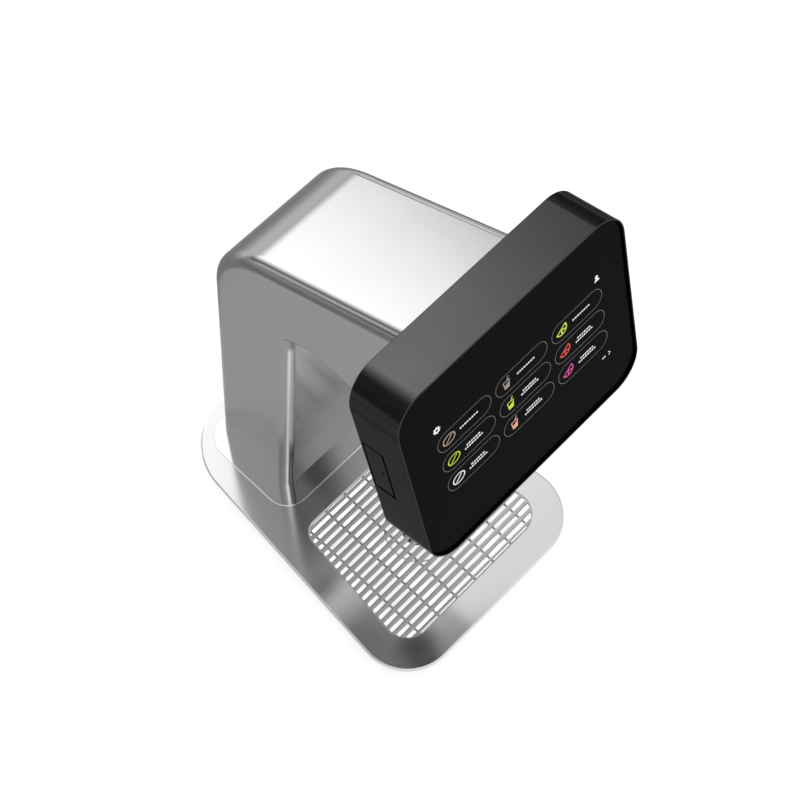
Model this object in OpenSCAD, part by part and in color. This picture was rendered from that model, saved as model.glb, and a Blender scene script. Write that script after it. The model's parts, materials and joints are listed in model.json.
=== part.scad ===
// Counter-top drink dispenser: polished column and arm, touch-screen head, slotted drip base.
// Millimetres, +Z up. The screen faces -Y and +X is to the right of someone who faces it.
// Every height is measured from the counter, which is z = 0.

/* [Base] */
// length of the base plate, front to back
base_len = 296.5; // [285:0.5:315]
// width of the base plate across its front corners
base_front_w = 221; // [210:1:236]
// width of the base plate across its back corners
base_back_w = 187; // [180:1:200]
// radius of the two front corners
base_front_r = 44; // [30:1:56]
// radius of the two back corners
base_back_r = 58; // [40:1:70]
// thickness of the plate's sheet
sheet_t = 1.5; // [1:0.1:2]
// height of the plate's turned-down lip
lip_h = 4; // [3:0.5:6]
// how far the frame stands back from the plate's edge
frame_inset = 6; // [4:0.5:6]
// height of the frame under the plate
frame_h = 11; // [10.5:0.5:16]
// thickness of the gasket under the frame
gasket_t = 1.5; // [1:0.1:3]
// width of the gasket's strip
gasket_w = 8; // [5:0.5:8]

/* [Grille and drip pan] */
// length of the grille opening, front to back
grille_len = 134.4; // [120:0.2:139]
// width of the grille opening across its front corners
grille_front_w = 168.4; // [156:0.2:174]
// width of the grille opening across its back corners
grille_back_w = 147; // [136:1:152]
// radius of the opening's front corners
grille_front_r = 21; // [12:1:30]
// radius of the opening's back corners
grille_back_r = 14.5; // [10:0.5:25]
// distance from the plate's middle forward to the grille's middle, where the nozzle stands
grille_y = 55.3; // [52:0.1:59]
// spacing of the slot rows
row_pitch = 7.15; // [6:0.05:10]
// width of a slot
slot_w = 2.9; // [2:0.1:4]
// spacing of the slots along a row
cell_pitch = 22.5; // [18:0.1:30]
// width of the rib between two slots of a row
rib_w = 1.9; // [1.5:0.1:4]
// width of the grille's closed rim
grille_rim = 1.2; // [1:0.1:3]
// width of the pan's wall outside and inside the opening's edge
pan_lip = 3; // [2.5:0.5:5]
// thickness of the pan's floor
pan_floor = 5.5; // [5:0.25:6]
// radius of the shallow sump
sump_r = 28.3; // [20:0.1:33]
// depth of the sump
sump_d = 0.8; // [0.5:0.1:1.2]
// thickness of the pan's two support ribs
pan_rib_t = 2; // [1.5:0.25:4]
// half the distance between the support ribs
pan_rib_x = 36; // [34:1:50]
// bore radius of the drain bush
drain_r = 8; // [6:0.25:10]
// wall of the drain bush
drain_wall = 2; // [1.5:0.25:3]
// height of the drain bush above the counter
drain_z = 0.5; // [0.3:0.1:1]
// radius of the strainer
strainer_r = 14; // [13.5:0.5:18]

/* [Column and arm] */
// width of the column and the arm
body_w = 111.8; // [110:0.2:120]
// depth of the column, front to back
column_d = 79; // [78:0.5:88]
// distance from the plate's middle back to the column's middle
column_y = 88; // [86:0.5:91]
// wall of the hollow body
wall = 2; // [1.2:0.1:2.2]
// rounding of the long edges of the body
edge_r = 10; // [6:0.5:12]
// slope of the arm's top
top_slope = 29.6; // [26:0.2:32]
// rounding where the column's back runs into the arm's top
top_back_r = 94; // [88:0.2:100]
// height of the arch's highest point
arch_z = 313.4; // [304:0.2:320]
// distance from the plate's middle back to the arch's highest point
arch_y = 9.6; // [5:0.2:15]
// radius of the arch behind its highest point
arch_r = 51; // [48:1:60]
// radius of the arch in front of its highest point
arch_front_r = 268; // [240:1:320]
// width of the polished foot flange
flange_w = 143.2; // [136:0.2:156]
// length of the foot flange
flange_len = 101.6; // [98:0.2:108]
// distance from the plate's middle back to the flange's middle
flange_y = 81.8; // [80:0.2:84]
// corner radius of the foot flange
flange_r = 21; // [12:1:30]
// thickness of the foot flange
flange_t = 1; // [0.8:0.1:2]

/* [Inside the column] */
// distance from the body's wall to the chassis cheeks
cheek_gap = 3.5; // [3:0.25:4]
// thickness of the cheeks
cheek_t = 2; // [1.5:0.25:2.25]
// distance of the cheeks' edge from the body's outside
cheek_edge = 8; // [6:0.5:10]
// thickness of the chassis foot plate and front plate
chassis_t = 3; // [2.5:0.25:4]
// distance from the cheeks to the hose opening
hose_side = 6.4; // [5.4:0.1:7.4]
// length of the hose opening through the base
hose_len = 48; // [46:1:49]
// thickness of the hose bulkhead
bulkhead_t = 3; // [2:0.5:5]
// distance from the hose opening's side to the outer inlets of the front row
inlet_side = 15; // [13:0.5:18]
// distance of the front row of inlets from the column's middle
inlet_front = 10; // [8:0.5:13]
// distance of the back row of inlets from the column's middle
inlet_back = 11; // [8:0.5:13]
// distance from the power inlet to the nearest inlet of the back row
inlet_power_gap = 14.5; // [14:0.25:16]
// distance from the hose opening's side to the power inlet
power_side = 7.5; // [7:0.25:8]
// radius of a concentrate tube
tube_r = 3; // [2:0.25:3.5]
// radius of the water tube
water_r = 4; // [3:0.25:5]
// wall of the tubes
tube_wall = 1; // [0.6:0.1:1.2]
// inside bend radius of the tubes at their middle line
bend_r = 22; // [18:1:26]
// radius of the wiring loom
loom_r = 4; // [3:0.25:4.5]
// height of the valve manifold
manifold_h = 24; // [22:1:26]
// length of the valve manifold
manifold_len = 62; // [60:1:66]
// height of the manifold above the arch's highest point
manifold_up = 9; // [8:0.5:11]
// radius of a valve coil
coil_r = 9; // [7:0.5:9.5]
// height of a valve coil
coil_h = 34; // [28:1:36]
// spacing of the valve coils across the arm
coil_pitch = 22; // [20:0.5:24]
// radius of the core at the top of a coil
coil_core_r = 4; // [3:0.25:5]
// height of the core above its coil
coil_core_up = 3; // [2:0.25:5]
// height of the manifold's screws above its underside
manifold_screw_up = 8; // [6:0.5:10]
// length of the manifold's screws under the head
manifold_screw_len = 10; // [8:0.5:10]

/* [Nozzle] */
// radius of the nozzle body
nozzle_r = 16; // [14:0.5:18]
// radius of the spigot that the tip pushes on to
spigot_r = 11; // [9:0.5:12]
// length of the spigot
spigot_len = 13; // [10:0.5:16]
// wall of the nozzle tip
tip_wall = 3; // [2:0.25:4]
// height of the nozzle tip
tip_h = 25.7; // [22:0.1:30]
// wall of the collar round the nozzle
collar_wall = 3.7; // [2.5:0.1:5]
// height of the collar
collar_h = 19; // [17:0.5:20]
// height of the collar's foot above the shoulder
collar_up = 3; // [2:0.25:4]
// height of the nozzle body's shoulder below the arch's highest point
shoulder_drop = 21; // [20:0.5:26]
// thickness of the seal ring
seal_ring_r = 1; // [0.8:0.1:1.3]

/* [Head] */
// width of the head
head_w = 214.4; // [208:0.2:224]
// height of the head along the screen
head_h = 173.2; // [168:0.2:180]
// depth of the head behind the screen
head_d = 43.8; // [43:0.2:50]
// corner radius of the head
head_r = 25.5; // [15:0.5:35]
// how far the screen leans back
head_tilt = 18.4; // [16:0.2:21]
// distance from the plate's middle forward to the middle of the screen
head_y = 116.5; // [112:0.1:120]
// height of the middle of the screen
head_z = 389; // [386:0.5:398]
// distance from the head's top edge down to the arm's top
arm_top_drop = 9.1; // [7:0.1:13]
// thickness of the seal between the arm and the head
seal_t = 1.5; // [1:0.1:2.5]
// wall of the head's sides
head_wall = 3; // [2.5:0.1:4]
// back wall of the head
head_back = 2.5; // [2:0.1:4]
// rim of the housing round the glass
rim_t = 1.2; // [1:0.1:1.6]
// depth of the glass below the housing's rim
glass_sink = 2; // [0.5:0.1:2.5]
// thickness of the glass
glass_t = 3; // [2:0.25:4]
// thickness of the tape under the glass
tape_t = 0.8; // [0.5:0.1:1.5]
// width of the shelf that carries the tape
shelf_w = 6; // [4:0.5:8]
// thickness of the shelf
shelf_t = 2.2; // [1.5:0.1:3]

/* [Display and boards] */
// distance from the head's sides to the display module
display_side = 15.2; // [13.2:0.2:22]
// distance from the head's ends to the display module
display_end = 27.6; // [24:0.2:34]
// thickness of the display module
display_t = 5.5; // [4:0.5:6]
// distance of the display's middle above the head's middle
display_up = 2.6; // [0:0.2:5]
// width of the control board
board_w = 150; // [145:1:160]
// height of the control board
board_h = 100; // [98:1:110]
// thickness of the boards
board_t = 1.6; // [1:0.1:2]
// length of the standoffs between the display and the board
standoff_len = 7.7; // [6:0.1:8]
// radius of a standoff
standoff_r = 3; // [2.5:0.25:4]

/* [Service hatch] */
// height of the hatch opening along the screen
hatch_h = 50.9; // [46:0.1:56]
// distance of the hatch opening's middle above the head's middle
hatch_up = 4.5; // [-5:0.1:10]
// distance from the screen back to the hatch opening
hatch_front = 21.4; // [20:0.2:23]
// gap round the hatch
hatch_gap = 0.8; // [0.5:0.1:1]
// thickness of the hatch
hatch_t = 2.5; // [2.2:0.1:2.8]
// radius of the hinge barrel
barrel_r = 1.5; // [1.3:0.05:1.5]
// radius of the hinge pin
pin_r = 0.8; // [0.6:0.05:0.8]
// length of the pin in the housing at each end
pin_hold = 4; // [3:0.5:6]
// radius of the hatch's catch
catch_r = 1.2; // [0.8:0.1:2]
// thickness of the service panel behind the hatch
panel_t = 2; // [1.5:0.25:3]
// radius of the power button
button_r = 3; // [2.5:0.25:3.5]
// travel of the power button
press_travel = 1.2; // [0.8:0.1:1.3]

// length of the service board
service_board_len = 38; // [36:0.5:42]
// width of the service board
service_board_w = 16; // [13:0.5:18]

/* [Fasteners] */
// shank radius of the foot and head screws
screw_r = 2.45; // [2:0.05:2.45]
// head radius of the foot and head screws
screw_head_r = 4.5; // [4:0.1:4.6]
// height of the foot and head screws' heads
screw_head_h = 3; // [2.5:0.1:3.5]
// distance of the foot screws from the cheeks
foot_screw_side = 5.4; // [5:0.1:5.4]
// distance of the head screws from the cheeks
head_screw_side = 4.4; // [4:0.1:8]
// distance of the head screws from the arm's top and underside
head_screw_in = 22; // [18:0.5:26]
// distance of the foot screws from the column's front and back
foot_screw_in = 9.5; // [9.3:0.1:9.8]
// bore radius of the threaded inserts
insert_r = 2.6; // [2.1:0.05:3.3]
// wall of the threaded inserts
insert_wall = 1.4; // [1:0.1:2]
// length of the threaded inserts
insert_len = 9; // [7:0.5:9.5]
// spacing of the threaded inserts across the base
insert_x = 104; // [98:1:105]
// spacing of the threaded inserts, front to back
insert_y = 74; // [70:1:76]

/* [Clearances] */
// gap round pieces that lift or swing
lift_gap = 0.4; // [0.3:0.05:0.6]
// gap between fixed pieces that slip together
seat_gap = 0.3; // [0.1:0.05:0.5]
// radial gap of pins, tubes and screws in their holes
pin_gap = 0.05; // [0.02:0.01:0.08]

/* [Hidden] */
$fn = 48;

// how far a straight side lies inside the arcs that it joins, so that they cross cleanly
join_slack = 0.01;

// heights of the base
sheet_z = gasket_t + frame_h;
plate_top = sheet_z + sheet_t;
foot_top = plate_top + flange_t;
pan_top = sheet_z - seat_gap;
floor_z = gasket_t + pan_floor;
sump_z = floor_z - sump_d;
bulkhead_z = foot_top + chassis_t;

// the column in plan
column_front = column_y - column_d / 2;
column_back = column_y + column_d / 2;
cheek_out = body_w / 2 - wall - cheek_gap;
cheek_in = cheek_out - cheek_t;
foot_screw_x = cheek_in - foot_screw_side;
foot_screw_y = column_d / 2 - foot_screw_in;
head_screw_x = cheek_in - head_screw_side;
hose_w = 2 * (cheek_in - hose_side);
inlet_pitch = (hose_w - 2 * inlet_side) / 3;
power_x = hose_w / 2 - power_side;
inlet_back_pitch = power_x - inlet_power_gap;

// the inside of the arm
manifold_z = arch_z + manifold_up;
manifold_front = grille_y + 13;
manifold_back = manifold_len - manifold_front;
manifold_screw_y = [manifold_back - 16, manifold_back - 46];
shoulder_z = arch_z - shoulder_drop;
spigot_z = shoulder_z - spigot_len;
tip_top = shoulder_z - seat_gap;
loom_bend = 30;
loom_z = manifold_z - 15;

// distances behind the screen
arm_end = -(head_d + seal_t);
back_face = -head_d + head_back;
glass_back = -glass_sink - glass_t;
tape_back = glass_back - tape_t;
shelf_back = tape_back - shelf_t;
display_back = glass_back - display_t;
board_front = display_back - standoff_len;
board_back = board_front - board_t;
connector_t = 4;
display_w = head_w - 2 * display_side;
display_h = head_h - 2 * display_end;
top_u = head_h / 2 - arm_top_drop;
hinge_n = back_face + barrel_r + lift_gap;
hinge_x = -head_w / 2 + barrel_r;
panel_x = -head_w / 2 + head_wall + 3.2;
board_x = panel_x + panel_t + 4;

// one point of the head, u up along the screen and n out of it, as [y, z]
function head_point(u, n) = [
  -head_y + u * sin(head_tilt) - n * cos(head_tilt),
  head_z + u * cos(head_tilt) + n * sin(head_tilt)
];

// a run of points on an arc in the side view
function arc(c, r, a0, a1, steps) = [
  for (i = [0 : steps]) c + r * [cos(a0 + (a1 - a0) * i / steps), sin(a0 + (a1 - a0) * i / steps)]
];

// where the body's top, moved in by d, meets the plane n behind the screen
function over_u(d, n) =
  top_u - (d + (n - arm_end) * sin(head_tilt - top_slope)) / cos(top_slope - head_tilt);

// where the arch, moved in by d, meets the plane n behind the screen
function under_u(d, n) =
  let (v = head_point(0, n) - arch_front_c)
  let (b = v * [sin(head_tilt), cos(head_tilt)])
  -b + sqrt(b * b - v * v + pow(arch_front_r + d, 2));

arch_front_c = [arch_y, arch_z - arch_front_r];
arch_c = [arch_y, arch_z - arch_r];
top_pt = head_point(top_u, arm_end);
corner_y = column_back - top_back_r;
corner_z = top_pt[1] - top_back_r * cos(top_slope)
  - (corner_y + top_back_r * sin(top_slope) - top_pt[0]) * tan(top_slope);
under_end = under_u(0, arm_end);

// back and top of the body's side view moved in by d, from height z0 to the plane n behind the screen
function over_line(d, z0, n) =
  let (corner = arc([corner_y, corner_z], top_back_r - d, 0, 90 - top_slope, 10))
  let (tip = head_point(over_u(d, n), n))
  concat([[column_back - d, z0]], corner, [for (i = [1 : 8]) corner[10] + (tip - corner[10]) * i / 8]);

// front and underside of the same view, with as many points
function under_line(d, z0, n) =
  let (e = head_point(under_u(d, n), n) - arch_front_c)
  let (front = arc(arch_front_c, arch_front_r + d, 90, atan2(e[1], e[0]), 8))
  let (kink = acos((column_front + d - arch_y) / (arch_r + d)))
  concat(
    [[column_front + d, z0]],
    arc(arch_c, arch_r + d, kink, 90, 10),
    [for (i = [1 : 8]) front[i]]
  );

function profile(d, z0, n) =
  let (under = under_line(d, z0, n))
  concat(over_line(d, z0, n), [for (i = [len(under) - 1 : -1 : 0]) under[i]]);

// the half-width and the inset of each ring of the rounded body
function rings(half_w, r, d) = concat(
  [for (k = [0 : 6]) [-half_w + r - r * cos(15 * k), d + r - r * sin(15 * k)]],
  [for (k = [6 : -1 : 0]) [half_w - r + r * cos(15 * k), d + r - r * sin(15 * k)]]
);

// distance up the screen at which the wiring loom passes the plane n
loom_turn = [column_y + inlet_back - loom_bend + loom_bend * sin(top_slope), loom_z + loom_bend * cos(top_slope)];
loom_n0 = (loom_turn - [-head_y, head_z]) * [-cos(head_tilt), sin(head_tilt)];
loom_u0 = (loom_turn - [-head_y, head_z]) * [sin(head_tilt), cos(head_tilt)];
loom_end = board_back - connector_t;
loom_len = (loom_end - loom_n0) / cos(top_slope - head_tilt);
function loom_u(n) = loom_u0 + (n - loom_n0) * tan(top_slope - head_tilt);

// places of the repeated pieces
inlet_spots = concat(
  [for (i = [-1.5 : 1 : 1.5]) [i * inlet_pitch, column_y - inlet_front]],
  [for (i = [-1, 1]) [i * inlet_back_pitch, column_y + inlet_back]]
);
coil_spots = concat(
  [for (i = [-1.5 : 1 : 1.5]) [i * coil_pitch, manifold_back - 13]],
  [for (i = [-1 : 1]) [i * coil_pitch, manifold_back - 35]]
);
head_screw_spots = [
  for (x = [-1, 1], u = [under_end + head_screw_in, top_u - head_screw_in]) [x * head_screw_x, u]
];
board_spots = [for (x = [-1, 1], u = [-1, 1]) [x * (board_w / 2 - 10), display_up + u * (board_h / 2 - 10)]];

module rounded_rect(w, h, r) {
  square([w - 2 * r, h], center = true);
  square([w, h - 2 * r], center = true);
  for (x = [-1, 1], y = [-1, 1])
    translate([x * (w / 2 - r), y * (h / 2 - r)])
      circle(r);
}

// outline with rounded corners that is wider at the front, moved in by d
module tapered(len, front_w, back_w, front_r, back_r, d) {
  cf = [front_w / 2 - front_r, -len / 2 + front_r];
  cb = [back_w / 2 - back_r, len / 2 - back_r];
  span = cb - cf;
  side = atan2(span[1], span[0]) - acos((front_r - back_r) / norm(span));
  out = [cos(side), sin(side)];
  e = d + join_slack;
  tf = cf + (front_r - e) * out;
  tb = cb + (back_r - e) * out;
  polygon([
    tf, tb, [cb[0], len / 2 - e], [-cb[0], len / 2 - e],
    [-tb[0], tb[1]], [-tf[0], tf[1]], [-cf[0], -len / 2 + e], [cf[0], -len / 2 + e]
  ]);
  for (x = [-1, 1]) {
    translate([x * cf[0], cf[1]])
      circle(front_r - d, $fn = 96);
    translate([x * cb[0], cb[1]])
      circle(back_r - d, $fn = 96);
  }
}

module base_outline(d) {
  tapered(base_len, base_front_w, base_back_w, base_front_r, base_back_r, d);
}

module grille_outline(d) {
  translate([0, -grille_y])
    tapered(grille_len, grille_front_w, grille_back_w, grille_front_r, grille_back_r, d);
}

module hose_outline(d) {
  translate([0, column_y])
    rounded_rect(hose_w - 2 * d, hose_len - 2 * d, 6 - d);
}

module foot_holes(r) {
  for (x = [-1, 1], y = [-1, 1])
    translate([x * foot_screw_x, column_y + y * foot_screw_y])
      circle(r);
}

module insert_holes(r) {
  for (x = [-1, 1], y = [-1, 1])
    translate([x * insert_x / 2, column_y + y * insert_y / 2])
      circle(r);
}

module raise(z, h) {
  translate([0, 0, z])
    linear_extrude(h)
      children();
}

// a head and a shank that point down -Z, with the underside of the head at the origin
module screw(r, head_r, head_h, len) {
  cylinder(r = head_r, h = head_h);
  translate([0, 0, -len])
    cylinder(r = r, h = len);
}

// the head's own frame: x across, y up along the screen, z out of the screen
module at_head() {
  translate([0, -head_y, head_z])
    rotate([90 - head_tilt, 0, 0])
      children();
}

module head_block(d, n0, n1) {
  translate([0, 0, n0])
    linear_extrude(n1 - n0)
      rounded_rect(head_w - 2 * d, head_h - 2 * d, head_r - d);
}

// solid body lofted through its rings
module body_solid(half_w, r, d, z0, n) {
  ring = rings(half_w, r, d);
  count = len(ring);
  points = [for (s = ring) for (p = profile(s[1], z0, n)) [s[0], p[0], p[1]]];
  m = len(points) / count;
  sides = [for (i = [0 : count - 2], j = [0 : m - 1], t = [0, 1])
    let (a = i * m + j, b = i * m + (j + 1) % m, c = b + m, e = a + m)
    t == 0 ? [a, e, c] : [a, c, b]];
  first = [for (j = [0 : m / 2 - 2], t = [0, 1])
    t == 0 ? [j, j + 1, m - 2 - j] : [j, m - 2 - j, m - 1 - j]];
  shift = (count - 1) * m;
  last = [for (f = first) [f[2] + shift, f[1] + shift, f[0] + shift]];
  polyhedron(points, concat(first, sides, last), convexity = 6);
}

// rod that climbs from z0, turns forward at height z1 and ends at y1
module bent_rod(r, x, y0, z0, z1, y1) {
  translate([x, y0, z0])
    cylinder(r = r, h = z1 - bend_r - z0);
  translate([x, y0 - bend_r, z1 - bend_r])
    rotate([90, 0, 90])
      rotate_extrude(angle = 90)
        translate([bend_r, 0])
          circle(r);
  translate([x, y0 - bend_r, z1])
    rotate([90, 0, 0])
      cylinder(r = r, h = y0 - bend_r - y1);
}

module bent_tube(r, x, y0, z1) {
  z0 = bulkhead_z + bulkhead_t + 4.5;
  difference() {
    bent_rod(r, x, y0, z0, z1, manifold_back);
    bent_rod(r - tube_wall, x, y0, z0 - 1, z1, manifold_back - 1);
  }
}

// push-in inlet through the bulkhead, open below for a hose and above for a tube
module push_inlet(r) {
  body_r = r + 3;
  z0 = 6;
  difference() {
    union() {
      translate([0, 0, z0])
        cylinder(r = body_r, h = bulkhead_z - z0);
      translate([0, 0, bulkhead_z])
        cylinder(r = body_r - 1, h = bulkhead_t);
      translate([0, 0, bulkhead_z + bulkhead_t])
        cylinder(r = body_r, h = 12);
    }
    translate([0, 0, z0 - 1])
      cylinder(r = r + 2 * pin_gap, h = 11);
    translate([0, 0, z0])
      cylinder(r = r / 2, h = 30);
    translate([0, 0, bulkhead_z + bulkhead_t + 4])
      cylinder(r = r + 2 * pin_gap, h = 10);
  }
}

module base_gasket() {
  color([0.08, 0.08, 0.08])
    linear_extrude(gasket_t)
      difference() {
        base_outline(frame_inset + 1);
        base_outline(frame_inset + 1 + gasket_w);
      }
}

module base_frame() {
  color([0.12, 0.12, 0.13])
    difference() {
      raise(gasket_t, frame_h)
        difference() {
          base_outline(frame_inset);
          grille_outline(-pan_lip - lift_gap);
          hose_outline(0);
          foot_holes(screw_r + pin_gap);
        }
      raise(gasket_t - 1, insert_len + 1)
        insert_holes(insert_r + insert_wall + pin_gap);
    }
}

module base_plate() {
  color([0.78, 0.78, 0.78])
    difference() {
      raise(plate_top - lip_h, lip_h)
        base_outline(0);
      raise(plate_top - lip_h - 1, lip_h + 1 - sheet_t)
        base_outline(sheet_t);
      raise(sheet_z - 1, sheet_t + 2) {
        grille_outline(0);
        hose_outline(0);
        foot_holes(screw_r + seat_gap);
      }
    }
}

module drip_pan() {
  color([0.95, 0.95, 0.95])
    difference() {
      union() {
        difference() {
          raise(gasket_t, pan_top - gasket_t)
            grille_outline(-pan_lip);
          raise(floor_z, frame_h)
            grille_outline(pan_lip);
        }
        for (x = [-1, 1])
          translate([x * pan_rib_x - pan_rib_t / 2, -grille_y - grille_len / 2 + 8, floor_z - 0.5])
            cube([pan_rib_t, grille_len - 16, pan_top - floor_z + 0.5]);
      }
      translate([0, -grille_y, sump_z])
        cylinder(r = sump_r, h = frame_h, $fn = 96);
      translate([0, -grille_y, 0])
        cylinder(r = drain_r + drain_wall + pin_gap, h = frame_h);
    }
}

module drip_grille() {
  rows = ceil(grille_len / row_pitch / 2) + 1;
  cells = ceil(grille_front_w / cell_pitch / 2) + 1;
  color([0.72, 0.72, 0.72])
    raise(sheet_z, sheet_t)
      difference() {
        grille_outline(lift_gap);
        intersection() {
          grille_outline(lift_gap + grille_rim);
          translate([0, -grille_y])
            for (i = [-cells : cells], j = [-rows : rows])
              translate([(i + 0.5) * cell_pitch, (j + 0.5) * row_pitch])
                square([cell_pitch - rib_w, slot_w], center = true);
        }
      }
}

module drain_bush() {
  color([0.7, 0.7, 0.72])
    translate([0, -grille_y, drain_z])
      difference() {
        cylinder(r = drain_r + drain_wall, h = sump_z - drain_z);
        translate([0, 0, -1])
          cylinder(r = drain_r, h = sump_z + 2);
      }
}

module drain_strainer() {
  color([0.75, 0.75, 0.75])
    translate([0, -grille_y, sump_z])
      linear_extrude(0.8)
        difference() {
          circle(strainer_r);
          for (a = [0 : 45 : 315])
            rotate(a)
              translate([drain_r * 0.65, 0])
                circle(1, $fn = 24);
          circle(1, $fn = 24);
        }
}

module threaded_inserts() {
  color([0.75, 0.6, 0.3])
    raise(gasket_t, insert_len)
      difference() {
        insert_holes(insert_r + insert_wall);
        insert_holes(insert_r);
      }
}

module foot_flange() {
  color([0.85, 0.85, 0.85])
    raise(plate_top, flange_t)
      difference() {
        translate([0, flange_y])
          rounded_rect(flange_w, flange_len, flange_r);
        hose_outline(0);
        foot_holes(screw_r + seat_gap);
      }
}

module foot_screws() {
  color([0.6, 0.6, 0.6])
    for (x = [-1, 1], y = [-1, 1])
      translate([x * foot_screw_x, column_y + y * foot_screw_y, bulkhead_z])
        screw(screw_r, screw_head_r, screw_head_h, bulkhead_z - gasket_t - 2);
}

module body_shell() {
  color([0.85, 0.85, 0.85])
    difference() {
      body_solid(body_w / 2, edge_r, 0, foot_top, arm_end);
      body_solid(body_w / 2 - wall, edge_r - wall, wall, foot_top - 1, arm_end + 1);
      translate([0, -grille_y, spigot_z])
        cylinder(r = nozzle_r + 2 * seat_gap + collar_wall, h = 50);
    }
}

module chassis() {
  color([0.55, 0.57, 0.6]) {
    for (x = [-cheek_out, cheek_in])
      difference() {
        translate([x, 0, 0])
          rotate([90, 0, 90])
            linear_extrude(cheek_t)
              difference() {
                polygon(profile(cheek_edge, bulkhead_z, -head_d - chassis_t));
                polygon(profile(30, 60, -head_d - 17));
              }
        for (y = manifold_screw_y)
          translate([x - 1, y, manifold_z + manifold_screw_up])
            rotate([0, 90, 0])
              cylinder(r = 2.2, h = cheek_t + 2);
      }
    raise(foot_top, chassis_t)
      difference() {
        translate([0, column_y])
          rounded_rect(2 * cheek_out, column_d - 2 * wall - 6, 6);
        hose_outline(0);
        foot_holes(screw_r + pin_gap);
        for (x = [-1, 1])
          translate([x * (hose_w / 2 + 2), column_y])
            circle(1.5 + pin_gap);
      }
    at_head()
      translate([0, 0, -head_d - chassis_t])
        linear_extrude(chassis_t)
          difference() {
            translate([0, (top_u + under_end) / 2])
              rounded_rect(2 * cheek_out, top_u - under_end - 2 * cheek_edge, 6);
            for (s = head_screw_spots)
              translate(s)
                circle(screw_r + pin_gap);
            translate([power_x, loom_u(-head_d)])
              circle(loom_r + 4);
          }
  }
}

module hose_bulkhead() {
  color([0.6, 0.62, 0.65])
    raise(bulkhead_z, bulkhead_t)
      difference() {
        translate([0, column_y])
          rounded_rect(hose_w + 10, hose_len + 2, 4);
        for (s = inlet_spots)
          translate(s)
            circle(tube_r + 2 + pin_gap);
        translate([0, column_y + inlet_back])
          circle(water_r + 2 + pin_gap);
        translate([power_x, column_y + inlet_back])
          circle(5 + pin_gap);
        for (x = [-1, 1])
          translate([x * (hose_w / 2 + 2), column_y])
            circle(1.5 + pin_gap);
      }
}

module bulkhead_screws() {
  color([0.6, 0.6, 0.6])
    for (x = [-1, 1])
      translate([x * (hose_w / 2 + 2), column_y, bulkhead_z + bulkhead_t])
        screw(1.5, 2.5, 2, bulkhead_t + chassis_t - 0.5);
}

module concentrate_inlets() {
  color([0.85, 0.85, 0.82])
    for (s = inlet_spots)
      translate(s)
        push_inlet(tube_r);
}

module water_inlet() {
  color([0.35, 0.5, 0.75])
    translate([0, column_y + inlet_back])
      push_inlet(water_r);
}

module power_inlet() {
  color([0.15, 0.15, 0.15])
    translate([power_x, column_y + inlet_back]) {
      translate([0, 0, 8])
        cylinder(r = 6, h = bulkhead_z - 8);
      translate([0, 0, bulkhead_z])
        cylinder(r = 5, h = bulkhead_t);
      translate([0, 0, bulkhead_z + bulkhead_t])
        cylinder(r = 6, h = 12);
    }
}

module concentrate_tubes() {
  color([0.9, 0.9, 0.85])
    for (s = inlet_spots)
      bent_tube(tube_r, s[0], s[1], manifold_z + (s[1] > column_y ? 17 : 6));
}

module water_tube() {
  color([0.5, 0.65, 0.85])
    bent_tube(water_r, 0, column_y + inlet_back, manifold_z + 17);
}

module wiring_loom() {
  z0 = bulkhead_z + bulkhead_t + 12;
  color([0.1, 0.1, 0.1])
    translate([power_x, 0, 0]) {
      translate([0, column_y + inlet_back, z0])
        cylinder(r = loom_r, h = loom_z - z0);
      translate([0, column_y + inlet_back, loom_z - 3])
        cylinder(r = loom_r + 0.6, h = 6);
      translate([0, column_y + inlet_back - loom_bend, loom_z])
        rotate([90, 0, 90])
          rotate_extrude(angle = 90 - top_slope)
            translate([loom_bend, 0])
              circle(loom_r);
      translate([0, loom_turn[0], loom_turn[1]])
        rotate([90 - top_slope, 0, 0]) {
          translate([0, 0, -3])
            cylinder(r = loom_r + 0.6, h = 6);
          cylinder(r = loom_r, h = loom_len - 0.8);
        }
    }
}

module valve_manifold() {
  color([0.75, 0.75, 0.7])
    difference() {
      translate([seat_gap - cheek_in, -manifold_front, manifold_z])
        cube([2 * (cheek_in - seat_gap), manifold_len, manifold_h]);
      translate([0, -grille_y, manifold_z - 1])
        cylinder(r = 5, h = 9);
      for (x = [-1, 1], y = manifold_screw_y)
        translate([x * (cheek_in + 1), y, manifold_z + manifold_screw_up])
          rotate([0, -x * 90, 0])
            cylinder(r = 2, h = manifold_screw_len + 1);
    }
}

module manifold_screws() {
  color([0.6, 0.6, 0.6])
    for (x = [-1, 1], y = manifold_screw_y)
      translate([x * cheek_out, y, manifold_z + manifold_screw_up])
        rotate([0, x * 90, 0])
          screw(1.95, 3.5, 2, manifold_screw_len);
}

module valve_coils() {
  color([0.12, 0.12, 0.12])
    for (s = coil_spots)
      translate([s[0], s[1], manifold_z + manifold_h]) {
        cylinder(r = coil_r, h = coil_h);
        cylinder(r = coil_core_r, h = coil_h + coil_core_up);
      }
}

module nozzle_body() {
  color([0.9, 0.9, 0.9])
    translate([0, -grille_y, 0])
      difference() {
        union() {
          translate([0, 0, shoulder_z])
            cylinder(r = nozzle_r, h = manifold_z - shoulder_z);
          translate([0, 0, spigot_z])
            cylinder(r = spigot_r, h = spigot_len);
        }
        translate([0, 0, spigot_z - 1])
          cylinder(r = 5, h = 60);
        translate([0, 0, spigot_z + spigot_len / 2 - seal_ring_r - pin_gap])
          difference() {
            cylinder(r = spigot_r + 1, h = 2 * (seal_ring_r + pin_gap));
            translate([0, 0, -1])
              cylinder(r = spigot_r - 2 * seal_ring_r, h = 6);
          }
      }
}

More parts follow.
